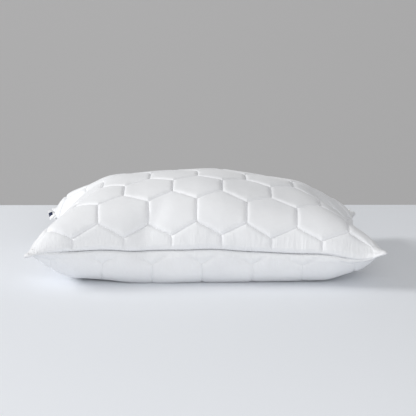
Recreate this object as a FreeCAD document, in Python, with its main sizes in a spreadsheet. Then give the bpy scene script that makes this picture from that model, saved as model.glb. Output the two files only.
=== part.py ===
import FreeCAD, Part
import Sketcher
import math
import os
from FreeCAD import Placement, Rotation, Vector

# A quilted bed pillow lying flat. Millimetres, +X along the pillow's length, +Z up.
# The origin is under the middle of the pillow, on the surface that it lies on.

os.makedirs("parts", exist_ok=True)
doc = FreeCAD.newDocument("BedPillow")

# ---- driving dimensions ----
sizes = [
    ("pillow_length", 722, "ear to ear, when filled"),
    ("pillow_width", 466, "ear to ear, when filled"),
    ("pillow_height", 194, "crown above the table"),
    ("seam_height", 78, "seam above the table"),
    ("end_pull", 0.1, "how far the ends draw in between the ears, as a share of the half length"),
    ("side_pull", 0.16, "how far the long sides draw in, as a share of the half width"),
    ("edge_wall", 3.2, "half thickness of the sewn edge"),
    ("under_press", 0.5, "how far the underside is pressed past the flat where it rests"),
    ("seam_gap", 1.2, "space between the two cloths in the seam, filled by thread and labels"),
    ("seam_allowance", 12, "cloth turned in behind the seam"),
    ("cloth_thickness", 0.4, ""),
    ("wadding_thickness", 4, ""),
    ("backing_thickness", 0.25, ""),
    ("stitch_gap", 1.3, "space that holds the quilting thread, between face cloth and wadding"),
    ("layer_gap", 0.6, "clear space between two layers"),
    ("core_wall", 0.5, "half thickness of the filling at its thin edge"),
    ("thread_size", 0.5, "diameter of every sewing thread"),
    ("hexagon_width", 101.8, "across the flats, on the flat cloth"),
    ("flat_length", 750, "cut length of each panel, seam to seam"),
    ("flat_width", 500, "cut width of each panel, seam to seam"),
    ("first_row", 30.5, "front seam to the first corners of the upper hexagons, on the flat cloth"),
    ("first_column", 104.8, "end seam to the first stitched side of the upper panel, on the flat cloth"),
    ("under_first_row", -4, "the same for the lower panel: its first corners fall in the seam"),
    ("under_first_column", 116, "end seam to the first stitched side of the lower panel"),
    ("quilt_margin", 9, "where the quilting stops short of the seam"),
    ("seam_inset", 4.8, "seam thread to the pillow's edge"),
    ("overlock_size", 1.6, "bead of thread that binds the raw edges"),
    ("closing_length", 160, "filling gap, closed by a topstitch"),
    ("closing_pitch", 5, "one stitch and the space after it"),
    ("closing_stitch", 3.6, "length of one closing stitch"),
    ("closing_inset", 3, "closing stitches to the pillow's edge"),
    ("closing_lift", 0.6, "closing stitch's middle above the cloth"),
    ("side_label_width", 20, "along the seam"),
    ("side_label_proud", 9, "out of the seam"),
    ("care_label_width", 16, "along the seam"),
    ("care_label_proud", 6, "out of the seam"),
    ("label_root", 3, "held inside the seam"),
    ("label_cloth", 0.2, "thickness of the label's cloth"),
    ("label_stack", 0.6, "folded label, both layers and the air between them"),
    ("side_label_place", 178, "middle of the side label, behind the pillow's middle"),
    ("care_label_place", 156, "middle of the care label, behind the pillow's middle"),
]
sheet = doc.addObject("Spreadsheet::Sheet", "Sizes")
for row, (alias, value, note) in enumerate(sizes, start=1):
    sheet.set(f"A{row}", alias)
    sheet.set(f"B{row}", str(value))
    sheet.set(f"C{row}", note)
    sheet.setAlias(f"B{row}", alias)
doc.recompute()


def size(alias):
    return float(sheet.get(alias))


half_length = size("pillow_length") / 2
half_width = size("pillow_width") / 2
seam_height = size("seam_height")
crown_height = size("pillow_height") - seam_height
belly_depth = seam_height + size("under_press")
half_gap = size("seam_gap") / 2
cloth = size("cloth_thickness")
subparts = []


# ---- the pillow's form ----
# u runs -1 to 1 along the length and v runs -1 to 1 from front to back.
def plan_point(u, v, inset):
    x = (half_length - inset) * u * (1 - size("end_pull") * (1 - v * v))
    y = (half_width - inset) * v * (1 - size("side_pull") * (1 - u * u))
    return x, y


# Share of the full rise: 0 at the seam and the ears, 1 at the middle.
def rise_share(u, v, side):
    share = (1 - u * u) * (1 + 0.5 * u * u) * (1 - v * v)
    if side > 0:
        return share
    return 1 - (1 - share) ** 2


# One smooth skin, above the seam for side 1 and below it for side -1.
def skin_height(u, v, side, wall, reach):
    return seam_height + side * (wall + (reach - wall) * rise_share(u, v, side))


def skin_point(u, v, side, inset, wall, reach):
    x, y = plan_point(u, v, inset)
    return Vector(x, y, skin_height(u, v, side, wall, reach))


def skin_face(side, inset, wall, reach):
    columns, rows = 28, 20
    grid = []
    for i in range(columns + 1):
        u = 2 * i / columns - 1
        grid.append([skin_point(u, 2 * j / rows - 1, side, inset, wall, reach) for j in range(rows + 1)])
    surface = Part.BSplineSurface()
    surface.interpolate(grid)
    return surface.toShape()


# Closed solid from a skin, upright walls along its rim, and a cap that meets them.
def closed_solid(skin, drop, cap):
    walls = [edge.extrude(drop) for edge in skin.Edges]
    shell = Part.makeShell([skin, cap] + walls)
    shell.sewShape()
    solid = Part.makeSolid(shell)
    if solid.Volume < 0:
        solid.reverse()
    return solid


# Solid between a skin and the level plane at base, both measured from the seam.
def skin_solid(side, inset, base, wall, reach):
    skin = skin_face(side, inset, wall, reach)
    drop = Vector(0, 0, side * (base - wall))
    rim = Part.Wire(Part.__sortEdges__(skin.Edges))
    rim.translate(drop)
    return closed_solid(skin, drop, Part.Face(rim))


# One side of the plan outline: axis "u" is an end, axis "v" is a long side.
def outline_point(axis, end, along, inset):
    u, v = (end, along) if axis == "u" else (along, end)
    x, y = plan_point(u, v, inset)
    return Vector(x, y, seam_height)


def outline_edge(axis, end, inset):
    curve = Part.BSplineCurve()
    curve.interpolate([outline_point(axis, end, step / 4 - 1, inset) for step in range(9)])
    return curve.toShape()


outline_sides = [(axis, end) for axis in "uv" for end in (-1, 1)]


# Upright block whose plan is the pillow's outline moved in by inset.
def outline_block(inset, low, high):
    edges = [outline_edge(axis, end, inset) for axis, end in outline_sides]
    rim = Part.Wire(Part.__sortEdges__(edges))
    rim.translate(Vector(0, 0, low - seam_height))
    return Part.Face(rim).extrude(Vector(0, 0, high - low))


def above(solid, height):
    block = Part.makeBox(2 * half_length, 2 * half_width, size("pillow_height"))
    block.translate(Vector(-half_length, -half_width, height))
    return solid.common(block)


def add_feature(label, shape):
    feature = doc.addObject("Part::Feature", label)
    feature.Label = label
    feature.Shape = shape
    feature.Placement = Placement()
    subparts.append(feature)
    return feature


# ---- layers of the two quilted panels ----
wadding_depth = cloth + size("stitch_gap")
backing_depth = wadding_depth + size("wadding_thickness") + size("layer_gap")
filling_depth = backing_depth + size("backing_thickness") + size("layer_gap")


# Half thickness of the sewn edge at a skin that lies depth under the outer surface.
# The face cloth keeps its thickness there, and the layers behind it are squeezed.
def layer_wall(depth):
    squeeze = (size("edge_wall") - cloth - size("core_wall")) / (filling_depth - cloth)
    return size("edge_wall") - min(depth, cloth) - max(depth - cloth, 0) * squeeze


def layer_skin(side, depth, base):
    full = crown_height if side > 0 else belly_depth
    solid = skin_solid(side, 1.25 * depth, base, layer_wall(depth), full - depth)
    if side < 0:
        solid = above(solid, depth)
    return solid


def one_solid(shape):
    return shape.Solids[0] if len(shape.Solids) == 1 else shape


# Face cloth: a thin shell with its seam allowance turned in level along the seam.
def face_cloth(side):
    outer = layer_skin(side, 0, half_gap)
    inner = layer_skin(side, cloth, half_gap + cloth)
    levels = sorted(seam_height + side * offset for offset in (0, half_gap + 2 * cloth))
    opening = outline_block(size("seam_allowance"), levels[0], levels[1])
    return one_solid(outer.cut(inner).cut(opening))


# Wadding and backing are trimmed back from the seam allowance.
def trimmed_layer(side, depth, thickness):
    outer = layer_skin(side, depth, half_gap)
    inner = layer_skin(side, depth + thickness, -half_gap)
    block = outline_block(size("seam_allowance") + 2 * size("layer_gap"), 0, size("pillow_height"))
    return one_solid(outer.cut(inner).common(block))


panels = {"top": 1, "bottom": -1}
for name, side in panels.items():
    add_feature(f"{name}_face_cloth", face_cloth(side))
    add_feature(f"{name}_wadding", trimmed_layer(side, wadding_depth, size("wadding_thickness")))
    add_feature(f"{name}_backing", trimmed_layer(side, backing_depth, size("backing_thickness")))


# ---- fibre filling: an upper and a lower half, the lower one keyed a little into the upper ----
def filling():
    rim = size("seam_allowance") + 2 * size("overlock_size")
    wall = size("core_wall")
    upper = skin_solid(1, rim, 0, wall, crown_height - filling_depth)
    lower = skin_solid(-1, rim + 2 * wall, -0.6 * wall, wall, belly_depth - filling_depth)
    return one_solid(upper.fuse(above(lower, filling_depth)))


add_feature("fibre_filling", filling())

# ---- quilting thread ----
hexagon_side = size("hexagon_width") / math.sqrt(3)
half_hexagon = size("hexagon_width") / 2


def hexagon_runs(side):
    first_row = size("first_row") if side > 0 else size("under_first_row")
    first_column = size("first_column") if side > 0 else size("under_first_column")
    runs = []
    rows = int(size("flat_width") / hexagon_side) + 2
    columns = int(size("flat_length") / size("hexagon_width")) + 2
    for row in range(-1, rows):
        near = first_row + 1.5 * hexagon_side * row
        for column in range(-2, columns):
            x = first_column + size("hexagon_width") * column + half_hexagon * (row % 2)
            top = (x, near)
            runs.append(((x, near - hexagon_side), top))
            runs.append((top, (x + half_hexagon, near + hexagon_side / 2)))
            runs.append((top, (x - half_hexagon, near + hexagon_side / 2)))
    return runs


# Part of a run that lies inside the quilted field, or None.
def clipped_run(start, end):
    low, high = 0, 1
    limits = [(size("quilt_margin"), size("flat_length") - size("quilt_margin")),
              (size("quilt_margin"), size("flat_width") - size("quilt_margin"))]
    for axis, (least, most) in enumerate(limits):
        travel = end[axis] - start[axis]
        if abs(travel) < 0.001:
            if not least <= start[axis] <= most:
                return None
            continue
        crossings = sorted(((least - start[axis]) / travel, (most - start[axis]) / travel))
        low, high = max(low, crossings[0]), min(high, crossings[1])
    if high - low < 0.1:
        return None
    spare = 1.5 * size("thread_size") / hexagon_side
    return low + spare, high - spare


def quilting_thread(side):
    depth = cloth + size("stitch_gap") / 2
    full = crown_height if side > 0 else belly_depth
    threads = []
    for start, end in hexagon_runs(side):
        share = clipped_run(start, end)
        if share is None:
            continue
        points = []
        for step in (0, 0.5, 1):
            along = share[0] + (share[1] - share[0]) * step
            u = 2 * (start[0] + (end[0] - start[0]) * along) / size("flat_length") - 1
            v = 2 * (start[1] + (end[1] - start[1]) * along) / size("flat_width") - 1
            point = skin_point(u, v, side, 1.25 * depth, layer_wall(depth), full - depth)
            if side < 0:
                point.z = max(point.z, depth)
            points.append(point)
        threads.append(thread_along(bent_edge(points), size("thread_size")))
    return Part.makeCompound(threads)


def bent_edge(points):
    chord = points[2] - points[0]
    bow = (points[1] - points[0]).cross(chord).Length / chord.Length
    if bow < 0.02:
        return Part.LineSegment(points[0], points[2]).toShape()
    return Part.Arc(*points).toShape()


def thread_along(edge, diameter):
    first = edge.FirstParameter
    ring = Part.Circle(edge.valueAt(first), edge.tangentAt(first), diameter / 2)
    pipe = Part.Wire([edge]).makePipeShell([Part.Wire([ring.toShape()])], True, True)
    return pipe.Solids[0]


for name, side in panels.items():
    add_feature(f"{name}_quilting_thread", quilting_thread(side))

# ---- seam thread and overlock, one run along each side, stopping short of the ears ----
def side_runs(inset, diameter):
    runs = []
    for axis, end in outline_sides:
        points = [outline_point(axis, end, along, inset) for along in (-0.994, 0, 0.994)]
        runs.append(thread_along(Part.Arc(*points).toShape(), diameter))
    return Part.makeCompound(runs)


add_feature("seam_thread", side_runs(size("seam_inset"), size("thread_size")))
overlock_inset = size("seam_allowance") + 0.9 * size("overlock_size")
add_feature("overlock_thread", side_runs(overlock_inset, size("overlock_size")))

# ---- closing stitches: a short topstitch beside the back seam, on the upper cloth ----
def closing_point(x):
    v = 1 - size("closing_inset") / half_width
    lift = size("closing_lift")
    return skin_point(x / half_length, v, 1, -lift, size("edge_wall") + lift, crown_height + lift)


closing_count = int(size("closing_length") / size("closing_pitch")) + 1
stitches = []
for index in range(closing_count):
    x = (index - closing_count / 2) * size("closing_pitch")
    start = closing_point(x)
    stitch = doc.addObject("Part::Cylinder", f"closing_stitch_{index + 1}")
    stitch.setExpression("Radius", "Sizes.thread_size / 2")
    stitch.setExpression("Height", "Sizes.closing_stitch")
    turn = Rotation(Vector(0, 0, 1), closing_point(x + size("closing_stitch")) - start)
    stitch.Placement = Placement(start, turn)
    stitches.append(stitch)
closing = doc.addObject("Part::Compound", "closing_stitches")
closing.Label = "closing_stitches"
closing.Links = stitches
closing.Placement = Placement()
subparts.append(closing)


# ---- labels caught in the left end seam ----
def origin_plane(body, role):
    return next(item for item in body.Origin.OriginFeatures if item.Role == role)


# Rectangle from (left, low) with its width and height bound to the sheet.
def rectangle_sketch(body, name, role, left, low, wide, high):
    sketch = body.newObject("Sketcher::SketchObject", name)
    sketch.AttachmentSupport = (origin_plane(body, role), [""])
    sketch.MapMode = "FlatFace"
    corners = [(0, 0), (9, 0), (9, 3), (0, 3)]
    for index in range(4):
        start = Vector(*corners[index], 0)
        end = Vector(*corners[(index + 1) % 4], 0)
        sketch.addGeometry(Part.LineSegment(start, end), False)
    for index in range(4):
        sketch.addConstraint(Sketcher.Constraint("Coincident", index, 2, (index + 1) % 4, 1))
        sketch.addConstraint(Sketcher.Constraint("Vertical" if index % 2 else "Horizontal", index))
    bound = {"wide": (("DistanceX", 0, 1, 0, 2, 9), wide), "high": (("DistanceY", 1, 1, 1, 2, 3), high),
             "left": (("DistanceX", -1, 1, 0, 1, 1), left), "low": (("DistanceY", -1, 1, 0, 1, 1), low)}
    for title, (constraint, expression) in bound.items():
        number = sketch.addConstraint(Sketcher.Constraint(*constraint))
        sketch.renameConstraint(number, title)
        sketch.setExpression(f"Constraints.{title}", expression)
    return sketch


# A strip folded in two: seen along the seam it is a flat hairpin, closed at its outer end.
def folded_label(label, width, proud, place):
    body = doc.addObject("PartDesign::Body", label)
    body.Label = label
    strip = rectangle_sketch(body, f"{label}_strip", "XZ_Plane", "0 mm", "-Sizes.label_stack / 2",
                             f"{proud} + Sizes.label_root", "Sizes.label_stack")
    pad = body.newObject("PartDesign::Pad", f"{label}_width")
    pad.Profile = strip
    pad.setExpression("Length", width)
    pad.Midplane = True
    slot = rectangle_sketch(body, f"{label}_slot", "XZ_Plane", "Sizes.label_cloth",
                            "-Sizes.label_stack / 2 + Sizes.label_cloth",
                            f"{proud} + Sizes.label_root", "Sizes.label_stack - 2 * Sizes.label_cloth")
    pocket = body.newObject("PartDesign::Pocket", f"{label}_fold")
    pocket.Profile = slot
    pocket.setExpression("Length", f"2 * ({width})")
    pocket.Midplane = True
    along = size(place) / half_width
    edge_x, edge_y = plan_point(-1, along, 0)
    lean = math.degrees(math.atan(2 * half_length * size("end_pull") * along / half_width))
    turn = Rotation(Vector(0, 0, 1), lean)
    reach = turn.multVec(Vector(size(proud.replace("Sizes.", "")), 0, 0))
    body.Placement = Placement(Vector(edge_x, edge_y, seam_height) - reach, turn)
    subparts.append(body)
    return body


folded_label("side_label", "Sizes.side_label_width", "Sizes.side_label_proud", "side_label_place")
folded_label("care_label", "Sizes.care_label_width", "Sizes.care_label_proud", "care_label_place")

# ---- check and write ----
doc.recompute()
for item in doc.Objects:
    if "Invalid" in item.State or "Error" in item.State:
        raise RuntimeError(f"{item.Label} failed: {item.State}")
for item in subparts:
    if item.Shape.isNull() or not item.Shape.isValid() or not item.Shape.Solids:
        raise RuntimeError(f"{item.Label} has no valid solid")
for item in subparts:
    item.Shape.exportStep(f"parts/{item.Label}.step")
    box = item.Shape.BoundBox
    print(f"{item.Label}: {len(item.Shape.Solids)} solids, {item.Shape.Volume:.0f} mm3, "
          f"{box.XLength:.1f} x {box.YLength:.1f} x {box.ZLength:.1f}")
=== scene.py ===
import math

import bpy
import numpy as np
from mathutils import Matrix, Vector


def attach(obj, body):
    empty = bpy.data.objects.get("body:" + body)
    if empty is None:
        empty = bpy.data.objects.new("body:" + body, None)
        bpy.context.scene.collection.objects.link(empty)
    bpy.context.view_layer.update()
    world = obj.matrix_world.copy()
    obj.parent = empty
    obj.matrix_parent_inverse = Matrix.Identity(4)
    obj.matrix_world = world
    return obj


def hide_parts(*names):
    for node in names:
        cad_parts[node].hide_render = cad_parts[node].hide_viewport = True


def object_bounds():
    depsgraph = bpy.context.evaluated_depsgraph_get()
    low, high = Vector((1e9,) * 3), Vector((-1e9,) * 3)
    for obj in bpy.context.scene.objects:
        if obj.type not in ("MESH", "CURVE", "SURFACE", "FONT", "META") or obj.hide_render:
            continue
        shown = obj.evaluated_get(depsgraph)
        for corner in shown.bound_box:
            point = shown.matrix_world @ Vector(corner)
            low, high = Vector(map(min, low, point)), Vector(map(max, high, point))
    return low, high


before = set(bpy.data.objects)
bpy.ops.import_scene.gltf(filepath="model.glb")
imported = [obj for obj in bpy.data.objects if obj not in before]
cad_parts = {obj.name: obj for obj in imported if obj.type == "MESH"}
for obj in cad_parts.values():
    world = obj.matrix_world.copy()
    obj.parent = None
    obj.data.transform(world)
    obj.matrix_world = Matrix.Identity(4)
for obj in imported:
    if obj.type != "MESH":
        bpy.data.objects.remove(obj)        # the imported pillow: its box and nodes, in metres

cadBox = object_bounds()
boxLow, boxHigh = np.array(cadBox[0]), np.array(cadBox[1])
scene = bpy.context.scene
print("frame loaded, box", [round(v, 4) for v in boxHigh - boxLow])


# The camera stands in front of the long side, a little above the pillow.
cameraSettings = {
    "place": (-0.005, -2.617, 0.664),
    "tiltDown": 11.72,       # degrees
    "turnLeft": -0.24,
    "lens": 107.3,           # on a 36 mm sensor
}


def makeCamera():
    data = bpy.data.cameras.new("camera")
    data.sensor_width = 36
    data.lens = cameraSettings["lens"]
    camera = bpy.data.objects.new("camera", data)
    camera.location = cameraSettings["place"]
    tilt = math.radians(90 - cameraSettings["tiltDown"])
    camera.rotation_euler = (tilt, 0, math.radians(cameraSettings["turnLeft"]))
    scene.collection.objects.link(camera)
    scene.camera = camera


makeCamera()


# The case: two flat panels sewn together at their edges, then filled.
caseSettings = {
    "length": 0.75,          # cut size of each panel, seam to seam
    "width": 0.50,
    "grid": 0.0125,
    "startHeight": 0.06,     # it drops onto the table while it fills
    "startPuff": 0.02,
    "startUnevenness": 0.0005,
    "fillVolume": 0.032,     # cubic metres that the filling wants
    "fillPush": 1.2,
    "clothMass": 0.004,      # per vertex, filling included
    "stretch": 60,
    "shear": 10,
    "bend": 0.05,
    "damping": 5,
    "bendDamping": 0.5,
    "airDamping": 1,
    "quality": 6,
    "clothSkin": 0.002,      # room kept between the cloth and the table
    "tableSkin": 0.001,
    "tableFriction": 5,
    "frames": 70,
}

across = round(caseSettings["length"] / caseSettings["grid"])
deep = round(caseSettings["width"] / caseSettings["grid"])
halfLength = caseSettings["length"] / 2
halfWidth = caseSettings["width"] / 2


# Four-cornered faces over a grid of vertex numbers. Turn -1 faces them the other way.
def gridFaces(index, turn):
    quads = np.stack([index[:-1, :-1], index[:-1, 1:], index[1:, 1:], index[1:, :-1]], -1).reshape(-1, 4)
    return quads[:, ::turn].tolist()


# Vertex numbers of two grids, upper and lower, that share their rim.
def sewnGrids(rows, columns):
    upper = np.arange(rows * columns).reshape(rows, columns)
    lower = upper.copy()
    lower[1:-1, 1:-1] = upper.size + np.arange((rows - 2) * (columns - 2)).reshape(rows - 2, columns - 2)
    return upper, lower


def caseMesh():
    xs = np.linspace(-halfLength, halfLength, across + 1)
    ys = np.linspace(-halfWidth, halfWidth, deep + 1)
    upper, lower = sewnGrids(deep + 1, across + 1)
    x, y = np.meshgrid(xs, ys)
    puff = (np.clip(1 - (x / halfLength) ** 2, 0, 1) * np.clip(1 - (y / halfWidth) ** 2, 0, 1)) ** 0.6
    unevenness = caseSettings["startUnevenness"] * np.sin(37 * x + 11 * y) * np.sin(53 * y + 3 * x)
    points = np.zeros((lower.max() + 1, 3))
    for index, side in ((lower, -1), (upper, 1)):
        z = caseSettings["startHeight"] + side * caseSettings["startPuff"] * puff + unevenness
        points[index] = np.stack([x, y, z], -1)
    mesh = bpy.data.meshes.new("case")
    mesh.from_pydata(points.tolist(), [], gridFaces(upper, 1) + gridFaces(lower, -1))
    return mesh, upper, lower


def simulateCase():
    settings = caseSettings
    mesh, upper, lower = caseMesh()
    case = bpy.data.objects.new("case", mesh)
    scene.collection.objects.link(case)
    tableMesh = bpy.data.meshes.new("tableTop")
    tableMesh.from_pydata([(-1, -1, 0), (1, -1, 0), (1, 1, 0), (-1, 1, 0)], [], [(0, 1, 2, 3)])
    tableTop = bpy.data.objects.new("tableTop", tableMesh)
    scene.collection.objects.link(tableTop)
    tableTop.modifiers.new("collision", "COLLISION")
    tableTop.collision.thickness_outer = settings["tableSkin"]
    tableTop.collision.cloth_friction = settings["tableFriction"]
    cloth = case.modifiers.new("cloth", "CLOTH")
    cloth.settings.quality = settings["quality"]
    cloth.settings.mass = settings["clothMass"]
    cloth.settings.tension_stiffness = settings["stretch"]
    cloth.settings.compression_stiffness = settings["stretch"]
    cloth.settings.shear_stiffness = settings["shear"]
    cloth.settings.bending_stiffness = settings["bend"]
    cloth.settings.tension_damping = settings["damping"]
    cloth.settings.compression_damping = settings["damping"]
    cloth.settings.shear_damping = settings["damping"]
    cloth.settings.bending_damping = settings["bendDamping"]
    cloth.settings.air_damping = settings["airDamping"]
    cloth.settings.use_pressure = True
    cloth.settings.use_pressure_volume = True
    cloth.settings.uniform_pressure_force = settings["fillPush"]
    cloth.settings.pressure_factor = settings["fillPush"]
    cloth.settings.target_volume = settings["fillVolume"]
    cloth.collision_settings.distance_min = settings["clothSkin"]
    cloth.collision_settings.collision_quality = 3
    cloth.collision_settings.use_self_collision = False
    cloth.point_cache.frame_end = settings["frames"] + 10
    for step in range(1, settings["frames"] + 1):
        scene.frame_set(step)
    settled = case.evaluated_get(bpy.context.evaluated_depsgraph_get()).to_mesh()
    points = np.zeros(len(settled.vertices) * 3)
    settled.vertices.foreach_get("co", points)
    points = points.reshape(-1, 3)
    for piece in (case, tableTop):
        bpy.data.objects.remove(piece)
    scene.frame_set(1)
    return points[upper], points[lower]


print("filling the case")
upperSheet, lowerSheet = simulateCase()
print("case filled, box", np.round(upperSheet.reshape(-1, 3).max(0) - lowerSheet.reshape(-1, 3).min(0), 3))


# How this pillow was plumped and set down. Amounts are metres, and so is what is measured from an ear.
# Other places run from -1 to 1, left to right and front to back, and a pair is a start and an end.
settleSettings = {
    "endDrop": 0.030,        # the filling is shallower towards the ends
    "backRise": 0.0085,
    "wideRise": 0.0055,
    "backDropLeft": 0.006,   # it has slumped at the far corners, mostly the right one
    "backDropRight": 0.027,
    "slumpLeft": (0.40, 0.85),
    "slumpRight": (0.50, 0.85),
    "slumpBack": (-0.2, 0.6),
    "footLeft": 0.033,       # both ends stand clear of the table
    "footRight": 0.045,
    "clearLeft": (0.70, 0.86),
    "clearRight": (0.64, 0.84),
    "seamLift": 0.0042,
    "seamEndDrop": 0.0089,
    "seamRightDrop": 0.006,
    "seamDropPlace": (-0.2, 0.7),
    "seamHold": 1.4,         # how soon the underside stops following the seam
    "seamWave": 0.0012,
    "endSpread": 0.0053,
    "endDraw": 0.0065,       # the far corners are drawn in
    "drawBack": (-0.6, 1),
    "earLift": 0.016,        # front right ear turns up
    "earTip": ((1, -1), (0.10, 0.20)),           # each a middle and a reach
    "earDip": ((0.86, -1), (0.13, 0.30)),
    "earDipShare": 0.55,
    "earRise": 0.010,        # and its back edge stands up behind the tip
    "earBack": ((0.96, -0.77), (0.13, 0.16)),
    "earSmoothing": 0.042,   # reach of the flattened corners
    "earSmoothness": 0.6,
    "earRounds": 14,
    "earTaper": 0.0105,      # the seams run out to the corners gradually
    "taperStart": 0.014,
    "taperEnd": (0.04, 0.19),
    "evening": 4,            # rounds of smoothing over the whole cloth
    "evenness": 0.5,
    "puffRoom": 0.005,       # left for the quilting's own puff
}


def smoothStep(value, low, high):
    t = np.clip((value - low) / (high - low), 0, 1)
    return t * t * (3 - 2 * t)


def hump(x, y, middle, reach):
    return np.exp(-((x - middle[0]) / reach[0]) ** 2 - ((y - middle[1]) / reach[1]) ** 2)


# The corners hold little filling, so the cloth there lies smooth and flat.
def smoothCloth(sheet, x, y):
    values = settleSettings
    fromEar = np.hypot((1 - np.abs(x)) * halfLength, (1 - np.abs(y)) * halfWidth)
    ears = values["earSmoothness"] * np.exp(-(fromEar / values["earSmoothing"]) ** 2)[..., None]
    for turn in range(values["earRounds"]):
        weight = np.maximum(ears, values["evenness"]) if turn < values["evening"] else ears
        mean = sheet.copy()
        mean[1:-1, 1:-1] = (sheet[:-2, 1:-1] + sheet[2:, 1:-1] + sheet[1:-1, :-2] + sheet[1:-1, 2:]) / 4
        for k in (0, -1):
            mean[k, 1:-1] = (sheet[k, :-2] + sheet[k, 2:]) / 2
            mean[1:-1, k] = (sheet[:-2, k] + sheet[2:, k]) / 2
        sheet = sheet + weight * (mean - sheet)
    return sheet


# Both sheets move alike along the seam, so they stay sewn together.
def settle(sheet, side):
    values = settleSettings
    x, y = np.meshgrid(np.linspace(-1, 1, across + 1), np.linspace(-1, 1, deep + 1))
    plump = np.sqrt(np.clip((1 - x * x) * (1 - y * y), 0, 1))
    sheet = smoothCloth(sheet, x, y)
    if side > 0:
        rise = values["backRise"] * y + values["wideRise"] * y * y - values["endDrop"] * x * x
        sheet[..., 2] += plump * rise
        slump = values["backDropRight"] * smoothStep(x, *values["slumpRight"])
        slump += values["backDropLeft"] * smoothStep(-x, *values["slumpLeft"])
        sheet[..., 2] -= plump ** 0.7 * slump * smoothStep(y, *values["slumpBack"])
    else:
        foot = values["footRight"] * smoothStep(x, *values["clearRight"])
        foot += values["footLeft"] * smoothStep(-x, *values["clearLeft"])
        sheet[..., 2] += plump * foot
    share = 1 if side > 0 else np.clip(1 - values["seamHold"] * plump, 0, 1)
    seam = values["seamLift"] - values["seamEndDrop"] * x * x
    seam -= values["seamRightDrop"] * smoothStep(x, *values["seamDropPlace"])
    wave = np.sin(9.5 * x + 1.2) + 0.6 * np.sin(21 * x + 0.4)
    seam += values["seamWave"] * wave * np.clip(1 - x ** 4, 0, 1)
    turnedUp = hump(x, y, *values["earTip"]) - values["earDipShare"] * hump(x, y, *values["earDip"])
    seam += values["earLift"] * turnedUp + values["earRise"] * hump(x, y, *values["earBack"]) * share ** 2
    sheet[..., 2] += share * seam
    sheet[..., 0] += values["endSpread"] * x * (1 - y * y)
    sheet[..., 0] -= values["endDraw"] * x * smoothStep(y, *values["drawBack"])
    for axis, along, other, half in ((0, x, y, halfWidth), (1, y, x, halfLength)):
        fromEar = (1 - np.abs(other)) * half
        taper = 0.5 + 0.5 * smoothStep(fromEar, 0, values["taperStart"])
        taper *= 1 - smoothStep(fromEar, *values["taperEnd"])
        sheet[..., axis] += values["earTaper"] * taper * along ** 5
    return sheet


# Turns a settled case into the frame's box, on the table.
def fitToBox(sheets):
    room = settleSettings["puffRoom"]
    low = np.min([sheet.reshape(-1, 3).min(0) for sheet in sheets], 0)
    high = np.max([sheet.reshape(-1, 3).max(0) for sheet in sheets], 0)
    goalLow, goalHigh = boxLow.copy(), boxHigh.copy()
    goalHigh[2] -= room
    scale = (goalHigh - goalLow) / (high - low)
    print("case fitted to the frame, scale", np.round(scale, 3))
    return [(sheet - low) * scale + goalLow for sheet in sheets]


upperSheet, lowerSheet = fitToBox([settle(upperSheet, 1), settle(lowerSheet, -1)])


# One more row and column all round a sheet, carried on straight, so that the curve reaches its edge.
def widened(sheet):
    wide = np.concatenate([2 * sheet[:, :1] - sheet[:, 1:2], sheet, 2 * sheet[:, -1:] - sheet[:, -2:-1]], 1)
    return np.concatenate([2 * wide[:1] - wide[1:2], wide, 2 * wide[-1:] - wide[-2:-1]], 0)


# Weights of the four nearest points of a smooth curve, and of its slope.
def splineWeights(f):
    place = ((1 - f) ** 3, 3 * f ** 3 - 6 * f ** 2 + 4, -3 * f ** 3 + 3 * f ** 2 + 3 * f + 1, f ** 3)
    slope = (-(1 - f) ** 2, 3 * f ** 2 - 4 * f, -3 * f ** 2 + 2 * f + 1, f ** 2)
    return np.stack(place, -1) / 6, np.stack(slope, -1) / 2


# Smooth surface through a sheet's grid: places and outward normals at flat cloth points.
class Surface:
    def __init__(self, sheet, side):
        self.grid = widened(sheet)
        self.side = side

    def at(self, x, y):
        x, y = np.broadcast_arrays(np.asarray(x, float), np.asarray(y, float))
        column = np.clip((x + halfLength) / caseSettings["length"] * across, 0, across)
        row = np.clip((y + halfWidth) / caseSettings["width"] * deep, 0, deep)
        i = np.minimum(column.astype(int), across - 1)
        j = np.minimum(row.astype(int), deep - 1)
        wx, dx = splineWeights(column - i)
        wy, dy = splineWeights(row - j)
        place, alongX, alongY = (np.zeros(x.shape + (3,)) for _ in range(3))
        for b in range(4):
            for a in range(4):
                corner = self.grid[j + b, i + a]
                place += (wx[..., a] * wy[..., b])[..., None] * corner
                alongX += (dx[..., a] * wy[..., b])[..., None] * corner
                alongY += (wx[..., a] * dy[..., b])[..., None] * corner
        normal = np.cross(alongX, alongY) * self.side
        normal /= np.maximum(np.linalg.norm(normal, axis=-1, keepdims=True), 1e-9)
        return place, normal


surfaces = {"top": Surface(upperSheet, 1), "bottom": Surface(lowerSheet, -1)}


# Smooth noise on the flat cloth, from -1 to 1.
def softNoise(x, y, sizeX, sizeY, seed):
    lattice = np.random.RandomState(seed).uniform(-1, 1, (64, 64))
    u, v = x / sizeX + 500, y / sizeY + 500
    i, j = np.floor(u).astype(int), np.floor(v).astype(int)
    f, g = [t * t * t * (t * (6 * t - 15) + 10) for t in (u - i, v - j)]
    corner = [[lattice[(j + b) % 64, (i + a) % 64] for a in (0, 1)] for b in (0, 1)]
    near = corner[0][0] * (1 - f) + corner[0][1] * f
    far = corner[1][0] * (1 - f) + corner[1][1] * f
    return near * (1 - g) + far * g


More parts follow.
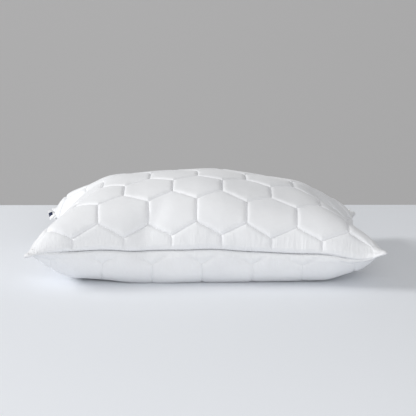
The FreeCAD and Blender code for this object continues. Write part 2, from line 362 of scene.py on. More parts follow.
# The hexagon quilting, laid out on the flat cloth.
quiltSettings = {
    "hexagon": 0.1018,       # across the flats
    "top": {"firstColumn": -0.2702, "firstRow": 0.0305, "seed": 3},      # a stitched side, and first corners
    "bottom": {"firstColumn": -0.2590, "firstRow": -0.0040, "seed": 8},
    "puff": 0.0048,          # how far the cloth stands above its stitches
    "valley": 0.0026,        # how quickly it rises beside them
    "puffChange": 0.22,      # from one cell to the next
    "bottomPuff": 0.5,       # the underside is pressed flatter
    "crown": 0.0009,         # extra height in the middle of a hexagon
    "pucker": 0.0007,
    "puckerReach": 0.009,
    "seamBite": 0.0032,
    "seamBiteWidth": 0.0016,
    "edgeRoll": 0.0038,      # the cloth rolls over before it dips into the seam
    "edgeRollWidth": 0.0034,
    "gather": 0.0013,        # soft folds that run in from the seam
    "gatherReach": 0.022,
    "flatEar": (0.015, 0.105),                   # from the tip: no quilting stands up, and all of it does
    "earFold": 0.0016,       # folds that fan out from the corners
    "earFoldReach": 0.1,
    "unevenness": 0.0016,
    "panelThickness": 0.0045,
    "backingGap": 0.0015,    # at least this far below the face
    "backingPuff": 0.003,
    "tableGap": 0.0003,      # the underside lies this far above the table
}
hexagon = quiltSettings["hexagon"]
hexagonSide = hexagon / math.sqrt(3)


# Distance from flat points to the nearest stitch line.
def stitchDistance(x, y, panel):
    x0 = quiltSettings[panel]["firstColumn"]
    y0 = quiltSettings[panel]["firstRow"] - halfWidth
    rowStep = 1.5 * hexagonSide
    best, result = np.full(x.shape, np.inf), np.zeros(x.shape)
    nearRow = np.floor((y - y0 + hexagonSide / 2) / rowStep)
    for row in (nearRow, nearRow + 1):
        shift = hexagon / 2 * (row % 2)
        centreY = y0 + rowStep * row - hexagonSide / 2
        centreX = x0 + shift + hexagon * (np.floor((x - x0 - shift) / hexagon) + 0.5)
        dx, dy = x - centreX, y - centreY
        reach = np.hypot(dx, dy)
        slant = dy * math.sqrt(0.75)
        widest = np.maximum.reduce([np.abs(dx), np.abs(dx * 0.5 + slant), np.abs(dx * 0.5 - slant)])
        result = np.where(reach < best, hexagon / 2 - widest, result)
        best = np.minimum(best, reach)
    return np.maximum(result, 0)


def seamDistance(x, y):
    return np.minimum(halfLength - np.abs(x), halfWidth - np.abs(y))


def earDistance(x, y):
    return np.hypot(halfLength - np.abs(x), halfWidth - np.abs(y))


# How far the cloth stands out from the filled case at flat points.
def quiltLift(x, y, panel):
    values = quiltSettings
    seed = values[panel]["seed"]
    fromStitch = stitchDistance(x, y, panel)
    fromSeam = np.maximum(seamDistance(x, y), 0)
    fromEar = earDistance(x, y)
    alongSeam = np.where(halfLength - np.abs(x) < halfWidth - np.abs(y), y, x)

    puff = values["puff"] * (1 - np.exp(-fromStitch / values["valley"]))
    puff += values["crown"] * smoothStep(fromStitch, 0, hexagon / 2)
    puff *= 1 if panel == "top" else values["bottomPuff"]
    puff *= 1 + values["puffChange"] * softNoise(x, y, 0.07, 0.07, seed)
    puckers = values["pucker"] * softNoise(x, y, 0.011, 0.011, seed + 1)
    puckers *= np.exp(-fromStitch / values["puckerReach"]) * smoothStep(fromStitch, 0, 0.002)
    quilted = smoothStep(fromSeam, 0.001, 0.012) * (puff + puckers)

    roll = np.sqrt(np.clip(1 - (1 - np.clip(fromSeam / values["edgeRollWidth"], 0, 1)) ** 2, 0, 1))
    folds = softNoise(alongSeam, fromSeam, 0.016, 0.08, seed + 2)
    folds += 0.6 * softNoise(alongSeam, fromSeam, 0.041, 0.15, seed + 3)
    folds *= np.exp(-fromSeam / values["gatherReach"]) * smoothStep(fromSeam, 0, 0.008)
    uneven = softNoise(x, y, 0.11, 0.09, seed + 4) * smoothStep(fromSeam, 0, 0.06)

    # each ear has its own fan of folds
    fan = np.arctan2(halfWidth - np.abs(y), halfLength - np.abs(x)) + 7 * np.sign(x) + 15 * np.sign(y)
    earFolds = softNoise(fan, fromEar, 0.13, 0.11, seed + 5)
    earFolds *= np.exp(-(fromEar / values["earFoldReach"]) ** 2) * smoothStep(fromEar, 0.012, 0.05)
    earFolds *= smoothStep(fromSeam, 0.001, 0.012)
    flatEar = smoothStep(fromEar, *values["flatEar"])
    return (values["edgeRoll"] * roll * (0.3 + 0.7 * flatEar) + values["earFold"] * earFolds
            + flatEar * (quilted + values["gather"] * folds + values["unevenness"] * uneven))


# The seam itself bites in between the two rolled edges.
def seamBite(x, y):
    atEnd = halfLength - np.abs(x) < halfWidth - np.abs(y)
    fromSeam = np.maximum(seamDistance(x, y), 0)
    depth = quiltSettings["seamBite"] * np.exp(-(fromSeam / quiltSettings["seamBiteWidth"]) ** 2)
    depth *= smoothStep(earDistance(x, y), 0.01, 0.06)
    inward = np.stack([-np.sign(x) * atEnd, -np.sign(y) * ~atEnd, np.zeros(x.shape)], -1)
    return inward * depth[..., None]


# Where a flat point of a panel ends up on the finished pillow.
def clothPlace(x, y, panel, extra=0):
    x, y = np.broadcast_arrays(np.asarray(x, float), np.asarray(y, float))
    place, normal = surfaces[panel].at(x, y)
    lift = quiltLift(x, y, panel) + extra
    place = place + normal * lift[..., None] + seamBite(x, y)
    place[..., 2] = np.maximum(place[..., 2], quiltSettings["tableGap"])
    return place, normal


# The panels' meshes: their lines follow the stitching.
meshSettings = {
    "edgeLines": (0, 0.0005, 0.0013, 0.0025, 0.0042, 0.0068, 0.0105),
    "columnsPerHalf": 18,    # between two stitched sides
    "rowsPerZone": 30,       # between two zigzags
    "fewestColumns": 4,
    "fewestRows": 5,
    "crowding": 0.72,        # how much closer the lines are beside the stitches
    "columnRoom": 0.012,     # no stitched side is followed closer to the edge than this
    "rowRoom": 0.006,
    "lastRowRoom": 0.004,
    "innerStep": 3,
    "innerTableGap": 0.0008,
}


def crowdedSteps(count):
    w = np.linspace(0, 1, count + 1)
    return w - meshSettings["crowding"] * np.sin(2 * np.pi * w) / (2 * np.pi)


def panelColumns(panel):
    edge = np.array(meshSettings["edgeLines"])
    first, last = -halfLength + edge[-1], halfLength - edge[-1]
    stops = [first]
    line = quiltSettings[panel]["firstColumn"] - 3 * hexagon
    while line < last - meshSettings["columnRoom"]:
        if line > first + meshSettings["columnRoom"]:
            stops.append(line)
        line += hexagon / 2
    stops.append(last)
    inner = []
    for low, high in zip(stops[:-1], stops[1:]):
        count = round(meshSettings["columnsPerHalf"] * (high - low) / (hexagon / 2))
        steps = crowdedSteps(max(meshSettings["fewestColumns"], count))
        inner.extend(low + (high - low) * steps[:-1])
    return np.concatenate([-halfLength + edge[:-1], inner, halfLength - edge[::-1]])


# Row lines run along the zigzags, so y depends on the column.
def panelRows(panel, columns):
    edge = np.array(meshSettings["edgeLines"])
    x0, y0 = quiltSettings[panel]["firstColumn"], quiltSettings[panel]["firstRow"] - halfWidth
    low, high = -halfWidth + edge[-1], halfWidth - edge[-1]
    zigzags = [np.full(columns.shape, low)]
    row = 0
    room = meshSettings["rowRoom"]
    while y0 + 1.5 * hexagonSide * row < high - meshSettings["lastRowRoom"]:
        phase = ((columns - x0) / hexagon - 0.5 * (row % 2)) % 1
        wave = 1 - np.abs(2 * phase - 1)
        line = y0 + 1.5 * hexagonSide * row + hexagonSide / 2 * wave
        zigzags.append(np.clip(line, low + room, high - room))
        row += 1
    zigzags.append(np.full(columns.shape, high))
    rows = [np.full(columns.shape, -halfWidth + e) for e in edge[:-1]]
    for near, far in zip(zigzags[:-1], zigzags[1:]):
        count = round(meshSettings["rowsPerZone"] * float(np.median(far - near)) / (1.5 * hexagonSide))
        steps = crowdedSteps(max(meshSettings["fewestRows"], count))
        rows.extend(near + (far - near) * step for step in steps[:-1])
    rows.extend(np.full(columns.shape, halfWidth - e) for e in edge[::-1])
    return np.array(rows)


def thinnedLines(count, step):
    lines = list(range(0, count, step))
    if lines[-1] != count - 1:
        lines.append(count - 1)
    return lines


# One quilted panel as a closed shell: cloth outside, backing inside, joined along the seam.
def buildPanel(panel, name):
    columns = panelColumns(panel)
    y = panelRows(panel, columns)
    x = np.broadcast_to(columns, y.shape)
    outside, _ = clothPlace(x, y, panel)
    outer = np.arange(y.size).reshape(y.shape)

    # the backing needs fewer lines, and lies closer to the face near the seam
    rowLines = thinnedLines(y.shape[0], meshSettings["innerStep"])[1:-1]
    columnLines = thinnedLines(y.shape[1], meshSettings["innerStep"])[1:-1]
    innerX, innerY = x[np.ix_(rowLines, columnLines)], y[np.ix_(rowLines, columnLines)]
    depth = np.minimum(seamDistance(innerX, innerY), quiltSettings["panelThickness"])
    inside, normal = surfaces[panel].at(innerX, innerY)
    lift = np.minimum(quiltLift(innerX, innerY, panel), quiltSettings["backingPuff"])
    inside = inside + normal * (lift - quiltSettings["backingGap"] - depth)[..., None]
    inside[..., 2] = np.maximum(inside[..., 2], meshSettings["innerTableGap"])
    inner = outer.size + np.arange(innerX.size).reshape(innerX.shape)

    side = surfaces[panel].side
    faces = gridFaces(outer, side) + gridFaces(inner.T, side)
    faces += rimFaces(outer, inner, rowLines, columnLines, side)
    points = np.concatenate([outside.reshape(-1, 3), inside.reshape(-1, 3)])
    flat = [np.stack(pair, -1).reshape(-1, 2) for pair in ((x, y), (innerX, innerY))]
    return clothObject(name, points, faces, np.concatenate(flat))


# Faces between the fine outer rim and the coarse inner grid.
def rimFaces(outer, inner, rowLines, columnLines, side):
    faces = []
    edges = [(outer[0], inner[0], columnLines, 1), (outer[-1], inner[-1], columnLines, -1),
             (outer[:, 0], inner[:, 0], rowLines, -1), (outer[:, -1], inner[:, -1], rowLines, 1)]
    for fine, coarse, lines, turn in edges:
        stops = [0] + list(lines[1:-1]) + [len(fine) - 1]
        for k in range(len(lines) - 1):
            ring = list(fine[stops[k]:stops[k + 1] + 1]) + [coarse[k + 1], coarse[k]]
            faces.append([int(v) for v in ring][::-turn * side])
    return faces


def addPiece(name, mesh):
    mesh.shade_smooth()
    piece = bpy.data.objects.new(name, mesh)
    scene.collection.objects.link(piece)
    return piece


# Every cloth remembers where its points lie on the flat cut, so that the weave follows it.
def clothObject(name, points, faces, flat):
    mesh = bpy.data.meshes.new(name)
    mesh.from_pydata(points.tolist(), [], faces)
    cut = mesh.attributes.new("clothCut", "FLOAT_VECTOR", "POINT")
    cut.data.foreach_set("vector", np.pad(flat, ((0, 0), (0, 1))).astype(np.float32).ravel())
    return addPiece(name, mesh)


topPanel = buildPanel("top", "topQuiltedPanel")
bottomPanel = buildPanel("bottom", "bottomQuiltedPanel")
print("panels built,", len(topPanel.data.polygons), "and", len(bottomPanel.data.polygons), "faces")


# Every stitch is a little rod of thread.
stitchSettings = {
    "length": 0.0031,
    "pitch": 0.0038,
    "thread": 0.00055,
    "sink": 0.0001,          # how far a stitch beds into the cloth
    "sides": 6,
    "margin": 0.010,         # quilting stops short of the seam
    "seamInset": 0.006,      # the seam's stitches stop this far from each ear
    "closingLength": 0.16,
    "closingInset": 0.004,
}


def quiltRuns(panel):
    x0, y0 = quiltSettings[panel]["firstColumn"], quiltSettings[panel]["firstRow"] - halfWidth
    runs = []
    for row in range(-1, 8):
        near = y0 + 1.5 * hexagonSide * row
        for column in range(-3, 10):
            x = x0 + hexagon * (column + 0.5 * (row % 2))
            runs.append(((x, near - hexagonSide), (x, near)))
            runs.append(((x, near), (x + hexagon / 2, near + hexagonSide / 2)))
            runs.append(((x, near), (x - hexagon / 2, near + hexagonSide / 2)))
    return np.array(runs)


# Ends of each stitch on the flat cloth.
def stitchEnds(runs, margin):
    starts, ends = [], []
    for start, end in runs:
        length = np.hypot(*(end - start))
        count = max(1, int(length / stitchSettings["pitch"]))
        middle = (np.arange(count) + 0.5) / count
        half = stitchSettings["length"] / length / 2
        starts.append(start + (end - start) * (middle - half)[:, None])
        ends.append(start + (end - start) * (middle + half)[:, None])
    starts, ends = np.concatenate(starts), np.concatenate(ends)
    centre = (starts + ends) / 2
    keep = seamDistance(centre[:, 0], centre[:, 1]) > margin
    return starts[keep], ends[keep]


# Little rods of thread, thick in the middle and drawn down at both ends.
def threadMesh(name, start, end, normal, thread):
    sides = stitchSettings["sides"]
    # place along the stitch, thickness and drop of each ring
    shape = [(-0.5, 0.25, -0.5), (-0.36, 0.85, -0.12), (0, 1, 0), (0.36, 0.85, -0.12), (0.5, 0.25, -0.5)]
    along = end - start
    length = np.linalg.norm(along, axis=1, keepdims=True)
    forward = along / np.maximum(length, 1e-9)
    sideways = np.cross(normal, forward)
    sideways /= np.maximum(np.linalg.norm(sideways, axis=1, keepdims=True), 1e-9)
    up = np.cross(forward, sideways)
    rings = []
    for share, fat, drop in shape:
        centre = (start + end) / 2 + along * share + up * (drop * thread)
        for k in range(sides):
            turn = 2 * math.pi * k / sides
            spoke = sideways * math.cos(turn) + up * math.sin(turn)
            rings.append(centre + spoke * (fat * thread / 2))
    points = np.stack(rings, 1)
    count = points.shape[1]
    pattern = []
    for ring in range(len(shape) - 1):
        for k in range(sides):
            a, b = ring * sides + k, ring * sides + (k + 1) % sides
            pattern.append((a, b, b + sides, a + sides))
    caps = [tuple(range(sides))[::-1], tuple(range(count - sides, count))]
    faces = []
    for stitch in range(len(points)):
        base = stitch * count
        faces.extend([tuple(base + v for v in face) for face in pattern + caps])
    mesh = bpy.data.meshes.new(name)
    mesh.from_pydata(points.reshape(-1, 3).tolist(), [], faces)
    return addPiece(name, mesh)


def quiltStitches(panel, name):
    starts, ends = stitchEnds(quiltRuns(panel), stitchSettings["margin"])
    lift = stitchSettings["thread"] / 2 - stitchSettings["sink"]
    first, normal = clothPlace(starts[:, 0], starts[:, 1], panel, lift)
    last, _ = clothPlace(ends[:, 0], ends[:, 1], panel, lift)
    if panel == "bottom":    # none where the pillow lies on the table
        off = (first[:, 2] + last[:, 2]) / 2 > stitchSettings["thread"]
        first, last, normal = first[off], last[off], normal[off]
    return threadMesh(name, first, last, normal, stitchSettings["thread"])


def seamStitches():
    inset = stitchSettings["seamInset"]
    round4 = np.array([(-1, -1), (1, -1), (1, 1), (-1, 1)])
    corners, edge = round4 * (halfLength - inset, halfWidth - inset), round4 * (halfLength, halfWidth)
    runs = []
    for k in range(4):
        start, end = edge[k].copy(), edge[(k + 1) % 4].copy()
        axis = int(abs(end[0] - start[0]) < abs(end[1] - start[1]))
        start[axis], end[axis] = corners[k][axis], corners[(k + 1) % 4][axis]
        runs.append((start, end))
    starts, ends = stitchEnds(runs, -1)
    first, up = surfaces["top"].at(starts[:, 0], starts[:, 1])
    last, _ = surfaces["top"].at(ends[:, 0], ends[:, 1])
    _, down = surfaces["bottom"].at(starts[:, 0], starts[:, 1])
    out = up + down
    out /= np.maximum(np.linalg.norm(out, axis=1, keepdims=True), 1e-9)
    shift = out * stitchSettings["thread"] * 0.5 + seamBite(starts[:, 0], starts[:, 1])
    return threadMesh("seamStitches", first + shift, last + shift, out, stitchSettings["thread"])


def closingStitches():
    half = stitchSettings["closingLength"] / 2
    y = halfWidth - stitchSettings["closingInset"]
    starts, ends = stitchEnds(np.array([((-half, y), (half, y))]), 0)
    lift = stitchSettings["thread"] / 2
    first, normal = clothPlace(starts[:, 0], starts[:, 1], "top", lift)
    last, _ = clothPlace(ends[:, 0], ends[:, 1], "top", lift)
    return threadMesh("closingTopstitch", first, last, normal, stitchSettings["thread"])


topStitches = quiltStitches("top", "topQuiltStitches")
bottomStitches = quiltStitches("bottom", "bottomQuiltStitches")
seamThread = seamStitches()
closingThread = closingStitches()
print("stitches sewn,", len(topStitches.data.polygons), "faces on the top")


# The filling, a soft body just inside the panels.
fillingSettings = {
    "inset": 0.018,          # from the seam, on the flat cloth
    "depth": 0.0095,         # below the settled case
    "lumps": 0.0035,
    "lumpSize": 0.03,
    "columns": 90,
    "rows": 60,
}


def buildFilling():
    values = fillingSettings
    # closer lines towards the seam
    turnX, turnY = (np.linspace(-math.pi / 2, math.pi / 2, values[key] + 1) for key in ("columns", "rows"))
    xs, ys = (halfLength - values["inset"]) * np.sin(turnX), (halfWidth - values["inset"]) * np.sin(turnY)
    x, y = np.meshgrid(xs, ys)
    sheets = {}
    for panel in surfaces:
        place, normal = surfaces[panel].at(x, y)
        lumps = values["lumps"] * (softNoise(x, y, values["lumpSize"], values["lumpSize"], 21) - 1) / 2
        sheets[panel] = place - normal * (values["depth"] - lumps)[..., None]
    upper, lower = sewnGrids(*x.shape)
    points = np.zeros((lower.max() + 1, 3))
    points[lower] = sheets["bottom"]
    points[upper] = sheets["top"]
    edge = np.ones(x.shape, bool)
    edge[1:-1, 1:-1] = False
    points[upper[edge]] = (sheets["top"][edge] + sheets["bottom"][edge]) / 2
    flat = np.zeros((len(points), 2))
    flat[lower] = flat[upper] = np.stack([x, y], -1)
    return clothObject("fibreFilling", points, gridFaces(upper, 1) + gridFaces(lower, -1), flat)


filling = buildFilling()
print("filling built")


# Two labels, sewn into the left end seam.
labelSettings = {
    "side": {"middle": 0.200, "width": 0.023, "proud": 0.0135, "droop": 0.45, "twist": 1.15},
    "care": {"middle": 0.170, "width": 0.016, "proud": 0.0060, "droop": 0.7, "twist": -0.3},
    "root": 0.004,           # held in the seam
    "cloth": 0.00022,
    "gap": 0.0004,           # between the two layers of a folded label
    "hang": 0.75,            # how much of its droop a label takes up by bending
    "steps": 22,
    "foldSteps": 7,
    "acrossSteps": 16,
}


# Both faces of a strip folded in two: how far out of the root, and how far off its middle.
def foldedStrip(reach):
    spread = (labelSettings["gap"] + labelSettings["cloth"]) / 2
    shares = np.linspace(0, 1, labelSettings["steps"])
    turns = np.linspace(0, math.pi, labelSettings["foldSteps"])[1:-1]
    profile = [(share * (reach - spread), spread) for share in shares]
    profile += [(reach - spread + spread * math.sin(turn), spread * math.cos(turn)) for turn in turns]
    profile += [(share * (reach - spread), -spread) for share in shares[::-1]]
    profile = np.array(profile)
    tangent = np.gradient(profile, axis=0)
    tangent /= np.linalg.norm(tangent, axis=1, keepdims=True)
    side = np.stack([-tangent[:, 1], tangent[:, 0]], -1) * labelSettings["cloth"] / 2
    return profile + side, profile - side


# The strip stands out of the left end seam, hangs a little and turns to the front.
def buildLabel(kind, name):
    values = labelSettings[kind]
    root, hang = labelSettings["root"], labelSettings["hang"]
    ys = values["middle"] + values["width"] * np.linspace(-0.5, 0.5, labelSettings["acrossSteps"] + 1)
    seam, up = surfaces["top"].at(np.full(ys.shape, -halfLength), ys)
    _, down = surfaces["bottom"].at(np.full(ys.shape, -halfLength), ys)
    out = up + down
    out[:, 2] = 0
    out /= np.linalg.norm(out, axis=1, keepdims=True)
    places, flats = [], []
    for face in foldedStrip(values["proud"] + root):
        distance, off = face[:, 0] - root, face[:, 1]
        share = np.clip(distance / values["proud"], 0, 1)
        droop = values["droop"] * share ** 1.5
        twist = values["twist"] * share ** 0.8
        bend = np.clip(distance, 0, None)
        forward = np.where(distance > 0, bend * np.cos(droop * hang), distance)
        for j in range(len(ys)):
            aside = ys[j] - values["middle"]
            place = seam[j] + out[j] * (forward + off * np.sin(droop))[:, None]
            place[:, 1] += aside * (np.cos(twist) - 1) - off * np.sin(twist)
            place[:, 2] += aside * np.sin(twist) + off * np.cos(droop) * np.cos(twist)
            place[:, 2] -= bend * np.sin(droop * hang)
            places.append(place)
            flats.append(np.stack([np.full(len(off), aside), face[:, 0]], -1))
    count, lines = len(places[0]), len(ys)
    first, second = np.arange(2 * count * lines).reshape(2, lines, count)
    faces = gridFaces(first, 1) + gridFaces(second, -1)
    for a, b in ((first[0], second[0]), (second[-1], first[-1])):
        faces.extend([[int(a[k + 1]), int(a[k]), int(b[k]), int(b[k + 1])] for k in range(count - 1)])
    for a, b in ((first[:, 0], second[:, 0]), (second[:, -1], first[:, -1])):
        faces.extend([[int(a[k]), int(a[k + 1]), int(b[k + 1]), int(b[k])] for k in range(lines - 1)])
    return clothObject(name, np.concatenate(places), faces, np.concatenate(flats))


sideLabel = buildLabel("side", "sideLabel")
careLabel = buildLabel("care", "careLabel")
print("labels sewn in")


def newMaterial(name):
    material = bpy.data.materials.new(name)
    material.use_nodes = True
    return material, material.node_tree.nodes, material.node_tree.links


def mathsNode(nodes, links, operation, first, second=None):
    node = nodes.new("ShaderNodeMath")
    node.operation = operation
    for socket, value in zip(node.inputs, (first, second)):
        if isinstance(value, (int, float)):
            socket.default_value = value
        elif value is not None:
            links.new(value, socket)
    return node.outputs[0]


def noiseNode(nodes, links, place, scale, detail):
    noise = nodes.new("ShaderNodeTexNoise")
    noise.inputs["Scale"].default_value = scale
    noise.inputs["Detail"].default_value = detail
    links.new(place, noise.inputs["Vector"])
    return noise.outputs[0]


def splitNode(nodes, links, vector):
    parts = nodes.new("ShaderNodeSeparateXYZ")
    links.new(vector, parts.inputs[0])
    return parts.outputs


# Fine weave: threads each way on the flat cloth, with uneven yarns. Feeds the pillow's cloth and labels.
def makeWeaveGroup():
    group = bpy.data.node_groups.new("clothWeave", "ShaderNodeTree")
    ports = [("Place", "INPUT", "NodeSocketVector"), ("Threads per metre", "INPUT", "NodeSocketFloat"),
             ("Unevenness", "INPUT", "NodeSocketFloat"), ("Height", "OUTPUT", "NodeSocketFloat"),
             ("Shade", "OUTPUT", "NodeSocketFloat")]
    for title, direction, kind in ports:
        group.interface.new_socket(name=title, in_out=direction, socket_type=kind)
    nodes, links = group.nodes, group.links
    inputs, outputs = nodes.new("NodeGroupInput"), nodes.new("NodeGroupOutput")

    def maths(operation, first, second=None):
        return mathsNode(nodes, links, operation, first, second)

    scaled = nodes.new("ShaderNodeVectorMath")
    scaled.operation = "SCALE"
    links.new(inputs.outputs["Place"], scaled.inputs[0])
    links.new(inputs.outputs["Threads per metre"], scaled.inputs["Scale"])
    alongWarp, alongWeft, _ = splitNode(nodes, links, scaled.outputs[0])
    wobble = maths("MULTIPLY", noiseNode(nodes, links, scaled.outputs[0], 0.09, 2), 2.5)
    warp = maths("SINE", maths("ADD", maths("MULTIPLY", alongWarp, math.pi), wobble))
    weft = maths("SINE", maths("ADD", maths("MULTIPLY", alongWeft, math.pi), wobble))
    crossing = maths("MULTIPLY", maths("MULTIPLY", warp, weft), 0.5)
    height = maths("ADD", crossing, maths("MULTIPLY", maths("ABSOLUTE", warp), 0.5))
    links.new(height, outputs.inputs["Height"])
    yarns = noiseNode(nodes, links, scaled.outputs[0], 0.3, 2)
    spread = maths("MULTIPLY", maths("SUBTRACT", yarns, 0.5), inputs.outputs["Unevenness"])
    links.new(maths("ADD", spread, 0.5), outputs.inputs["Shade"])
    return group


weaveGroup = makeWeaveGroup()


def placeFromCut(nodes):
    cut = nodes.new("ShaderNodeAttribute")
    cut.attribute_name = "clothCut"
    return cut.outputs["Vector"]


def weaveNode(nodes, links, place, threads, unevenness):
    weave = nodes.new("ShaderNodeGroup")
    weave.node_tree = weaveGroup
    weave.inputs["Threads per metre"].default_value = threads
    weave.inputs["Unevenness"].default_value = unevenness
    links.new(place, weave.inputs["Place"])
    return weave


def mixColour(nodes, links, factor, first, second):
    mix = nodes.new("ShaderNodeMix")
    mix.data_type = "RGBA"
    links.new(factor, mix.inputs[0])
    for socket, value in ((mix.inputs[6], first), (mix.inputs[7], second)):
        if isinstance(value, tuple):
            socket.default_value = (*value, 1)
        else:
            links.new(value, socket)
    return mix.outputs[2]


def rampNode(nodes, links, value, low, high, outLow=0.0, outHigh=1.0):
    ramp = nodes.new("ShaderNodeMapRange")
    ramp.interpolation_type = "SMOOTHSTEP"
    for socket, number in zip(list(ramp.inputs)[1:5], (low, high, outLow, outHigh)):
        socket.default_value = number
    links.new(value, ramp.inputs[0])
    return ramp.outputs[0]


def bumpNode(nodes, links, height, distance, strength, previous=None):
    bump = nodes.new("ShaderNodeBump")
    bump.inputs["Strength"].default_value = strength
    bump.inputs["Distance"].default_value = distance
    links.new(height, bump.inputs["Height"])
    if previous is not None:
        links.new(previous, bump.inputs["Normal"])
    return bump.outputs[0]


clothFinish = {
    "white": (0.86, 0.868, 0.885),
    "shadeWhite": (0.80, 0.81, 0.835),
    "threads": 2600,         # to the metre
    "roughness": 0.62,
    "roughnessChange": 0.06,
    "specular": 0.35,
    "sheen": 0.25,
    "sheenRoughness": 0.35,
    "weaveDepth": 0.00004,
    "creaseDepth": 0.0011,   # the bump heights are metres
    "creaseScale": 70,
    "gatherDepth": 0.0017,
    "gatherScale": 190,
    "gatherSquash": 0.18,    # gathers are drawn out away from the seam
    "gatherFade": (0.070, 0.010),                # from the seam: none, and all of it
}


# Small gathers that run in from each seam and fade out over the first few centimetres.
def gatherNode(nodes, links, place):
    parts = splitNode(nodes, links, place)
    start, full = clothFinish["gatherFade"]
    squash = clothFinish["gatherSquash"]
    folds = []
    for axis, half, stretch in ((0, halfLength, (squash, 1, 1)), (1, halfWidth, (1, squash, 1))):
        away = mathsNode(nodes, links, "ABSOLUTE", parts[axis])
        fade = rampNode(nodes, links, away, half - start, half - full)
        squeeze = nodes.new("ShaderNodeVectorMath")
        squeeze.operation = "MULTIPLY"
        squeeze.inputs[1].default_value = stretch
        links.new(place, squeeze.inputs[0])
        gathers = noiseNode(nodes, links, squeeze.outputs[0], clothFinish["gatherScale"], 2)
        folds.append(mathsNode(nodes, links, "MULTIPLY", gathers, fade))
    return mathsNode(nodes, links, "ADD", folds[0], folds[1])


# White sateen: fine weave, soft sheen, faint rumples that the sewing leaves.
def sateenMaterial():
    material, nodes, links = newMaterial("whiteSateen")
    shader = nodes["Principled BSDF"]
    place = placeFromCut(nodes)
    weave = weaveNode(nodes, links, place, clothFinish["threads"], 0.5)
    broad = noiseNode(nodes, links, place, 9, 3)
    factor = rampNode(nodes, links, broad, 0.3, 0.7)
    tinted = mixColour(nodes, links, factor, clothFinish["white"], clothFinish["shadeWhite"])
    yarn = mixColour(nodes, links, weave.outputs["Shade"], tinted, clothFinish["white"])
    links.new(yarn, shader.inputs["Base Color"])
    smoothest = clothFinish["roughness"] - clothFinish["roughnessChange"]
    roughest = clothFinish["roughness"] + clothFinish["roughnessChange"]
    links.new(rampNode(nodes, links, broad, 0.25, 0.75, smoothest, roughest), shader.inputs["Roughness"])
    gathered = bumpNode(nodes, links, gatherNode(nodes, links, place), clothFinish["gatherDepth"], 1)
    rumples = noiseNode(nodes, links, place, clothFinish["creaseScale"], 3)
    rumpled = bumpNode(nodes, links, rumples, clothFinish["creaseDepth"], 0.35, gathered)
    woven = bumpNode(nodes, links, weave.outputs["Height"], clothFinish["weaveDepth"], 0.6, rumpled)
    links.new(woven, shader.inputs["Normal"])
    shader.inputs["Sheen Weight"].default_value = clothFinish["sheen"]
    shader.inputs["Sheen Roughness"].default_value = clothFinish["sheenRoughness"]
    shader.inputs["Specular IOR Level"].default_value = clothFinish["specular"]
    return material


threadFinish = {
    "white": (0.88, 0.885, 0.9),
    # painted shade: the colour in the twist's grooves
    "shadeWhite": (0.80, 0.81, 0.83),
    "twistScale": 900,
    "twistDepth": 0.00005,
    "roughness": (0.5, 0.65),
    "sheen": 0.2,
}


# Spun polyester thread with a twist along each stitch. The twist's grooves are painted darker than its
# ridges: painted shade.
def threadMaterial():
    material, nodes, links = newMaterial("whiteThread")
    shader = nodes["Principled BSDF"]
    coordinates = nodes.new("ShaderNodeTexCoord")
    wave = nodes.new("ShaderNodeTexWave")
    wave.inputs["Scale"].default_value = threadFinish["twistScale"]
    wave.inputs["Distortion"].default_value = 1.5
    links.new(coordinates.outputs["Object"], wave.inputs["Vector"])
    twist = wave.outputs[1]
    # painted shade: darker in the twist's grooves, white on its ridges
    colour = mixColour(nodes, links, twist, threadFinish["shadeWhite"], threadFinish["white"])
    links.new(colour, shader.inputs["Base Color"])
    links.new(rampNode(nodes, links, twist, 0, 1, *threadFinish["roughness"]), shader.inputs["Roughness"])
    links.new(bumpNode(nodes, links, twist, threadFinish["twistDepth"], 0.5), shader.inputs["Normal"])
    shader.inputs["Sheen Weight"].default_value = threadFinish["sheen"]
    return material


fibreFinish = {
    "white": (0.95, 0.95, 0.94),
    # painted shade: the colour in the hollows between tufts
    "shadeWhite": (0.82, 0.82, 0.8),
    "roughness": (0.8, 0.95),
    "tuftScale": 45,
    "tuftDepth": 0.003,
    "strandScale": 900,
    "strandDepth": 0.0004,
    "sheen": 0.5,
}


# Loose hollow fibre, matted in tufts. The hollows between the tufts are painted darker than the tufts:
# painted shade.
def fibreMaterial():
    material, nodes, links = newMaterial("hollowFibre")
    shader = nodes["Principled BSDF"]
    place = placeFromCut(nodes)
    tuftHeightAndShade = noiseNode(nodes, links, place, fibreFinish["tuftScale"], 6)
    strands = noiseNode(nodes, links, place, fibreFinish["strandScale"], 3)
    # painted shade: darker in the hollows between tufts, white on the tufts
    colour = mixColour(nodes, links, tuftHeightAndShade, fibreFinish["shadeWhite"], fibreFinish["white"])
    links.new(colour, shader.inputs["Base Color"])
    links.new(rampNode(nodes, links, tuftHeightAndShade, 0.2, 0.8, *fibreFinish["roughness"]), shader.inputs["Roughness"])
    matted = bumpNode(nodes, links, tuftHeightAndShade, fibreFinish["tuftDepth"], 0.8)
    fluffy = bumpNode(nodes, links, strands, fibreFinish["strandDepth"], 0.6, matted)
    links.new(fluffy, shader.inputs["Normal"])
    shader.inputs["Sheen Weight"].default_value = fibreFinish["sheen"]
    return material


labelFinish = {
    "white": (0.9, 0.905, 0.91),
    "shadeWhite": (0.80, 0.81, 0.82),
    "navy": (0.02, 0.035, 0.09),
    "shadeNavy": (0.008, 0.014, 0.05),
    "threads": 3400,
    "weaveDepth": 0.00005,
    "roughness": (0.35, 0.5),
    "sheen": 0.1,
    "blockWidth": 0.009,     # navy block on the larger label
    "blockStart": 0.0085,    # measured along the strip, from its root
    "blockEdge": 0.0002,
}


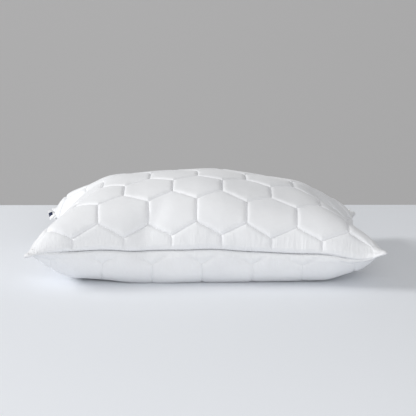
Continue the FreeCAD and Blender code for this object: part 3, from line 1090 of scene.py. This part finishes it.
# Woven satin label, plain or with a navy block.
def labelMaterial(name, withBlock):
    material, nodes, links = newMaterial(name)
    shader = nodes["Principled BSDF"]
    place = placeFromCut(nodes)
    weave = weaveNode(nodes, links, place, labelFinish["threads"], 0.7)
    shade, height = weave.outputs["Shade"], weave.outputs["Height"]
    colour = mixColour(nodes, links, shade, labelFinish["shadeWhite"], labelFinish["white"])
    if withBlock:
        aside, along, _ = splitNode(nodes, links, place)
        half, edge = labelFinish["blockWidth"] / 2, labelFinish["blockEdge"]
        start = labelFinish["blockStart"]
        away = mathsNode(nodes, links, "ABSOLUTE", aside)
        beside = rampNode(nodes, links, away, half - edge, half, 1, 0)
        beyond = rampNode(nodes, links, along, start, start + edge)
        inside = mathsNode(nodes, links, "MULTIPLY", beside, beyond)
        navy = mixColour(nodes, links, shade, labelFinish["shadeNavy"], labelFinish["navy"])
        colour = mixColour(nodes, links, inside, colour, navy)
    links.new(colour, shader.inputs["Base Color"])
    links.new(rampNode(nodes, links, height, -0.5, 1, *labelFinish["roughness"]), shader.inputs["Roughness"])
    links.new(bumpNode(nodes, links, height, labelFinish["weaveDepth"], 0.7), shader.inputs["Normal"])
    shader.inputs["Sheen Weight"].default_value = labelFinish["sheen"]
    return material


sateen, thread, fibre = sateenMaterial(), threadMaterial(), fibreMaterial()
for piece in (topPanel, bottomPanel):
    piece.data.materials.append(sateen)
for piece in (topStitches, bottomStitches, seamThread, closingThread):
    piece.data.materials.append(thread)
filling.data.materials.append(fibre)
sideLabel.data.materials.append(labelMaterial("bandedLabelSatin", True))
careLabel.data.materials.append(labelMaterial("plainLabelSatin", False))
print("materials made")


# What each piece stands for on the frame.
rides = [
    (topPanel, "face_cloth", ["top_face_cloth", "top_wadding", "top_backing"]),
    (bottomPanel, "face_cloth", ["bottom_face_cloth", "bottom_wadding", "bottom_backing"]),
    (topStitches, "thread", ["top_quilting_thread"]),
    (bottomStitches, "thread", ["bottom_quilting_thread"]),
    (seamThread, "thread", ["seam_thread", "overlock_thread"]),
    (closingThread, "thread", ["closing_stitches"]),
    (filling, "filling", ["fibre_filling"]),
    (sideLabel, "label_satin", ["side_label"]),
    (careLabel, "label_satin", ["care_label"]),
]
for piece, slotName, nodes in rides:
    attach(piece, "root")
    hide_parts(*nodes)


# A pale table, a grey wall, a window on the left and a weak light in front.
studioSettings = {
    "floorBack": 0.623,      # the far edge of the table
    "floorFront": -4.0,
    "halfSpan": 6.0,
    "wallPlace": 6.0,        # well behind it, so the pillow can be seen from behind too
    "wallSpan": 16.0,
    "wallLow": -4.0,
    "wallHigh": 12.0,
    "floorColour": (0.855, 0.88, 0.92),
    "wallColour": (0.66, 0.657, 0.66),
    "roughness": 0.7,
    "skyStrength": 0.465,
    "aim": (0, 0, 0.08),     # both lights point at the pillow
    "window": {"place": (-4.2, 0.1, 2.15), "size": (1.7, 1.5), "power": 134},
    "front": {"place": (0.3, -3.4, 1.5), "size": (2.5, 1.4), "power": 38},
}


def stageSheet(name, corners, colour):
    mesh = bpy.data.meshes.new(name)
    mesh.from_pydata(corners, [], [(0, 1, 2, 3)])
    piece = bpy.data.objects.new(name, mesh)
    scene.collection.objects.link(piece)
    material, nodes, _ = newMaterial(name)
    nodes["Principled BSDF"].inputs["Base Color"].default_value = (*colour, 1)
    nodes["Principled BSDF"].inputs["Roughness"].default_value = studioSettings["roughness"]
    mesh.materials.append(material)


def areaLight(name, values):
    data = bpy.data.lights.new(name, "AREA")
    data.shape = "RECTANGLE"
    data.size, data.size_y = values["size"]
    data.energy = values["power"]
    light = bpy.data.objects.new(name, data)
    light.location = values["place"]
    toPillow = Vector(studioSettings["aim"]) - Vector(values["place"])
    light.rotation_euler = toPillow.to_track_quat("-Z", "Y").to_euler()
    scene.collection.objects.link(light)


def buildStudio():
    values = studioSettings
    span, back, front = values["halfSpan"], values["floorBack"], values["floorFront"]
    floor = [(-span, front, 0), (span, front, 0), (span, back, 0), (-span, back, 0)]
    stageSheet("floor", floor, values["floorColour"])
    wide, far, low, high = (values[key] for key in ("wallSpan", "wallPlace", "wallLow", "wallHigh"))
    wall = [(-wide, far, low), (wide, far, low), (wide, far, high), (-wide, far, high)]
    stageSheet("wall", wall, values["wallColour"])
    areaLight("windowLight", values["window"])
    areaLight("frontLight", values["front"])
    world = bpy.data.worlds.new("studio")
    world.use_nodes = True
    sky = world.node_tree.nodes["Background"]
    sky.inputs["Color"].default_value = (1, 1, 1, 1)
    sky.inputs["Strength"].default_value = values["skyStrength"]
    scene.world = world
    scene.view_settings.view_transform = "Standard"


buildStudio()
print("studio ready")
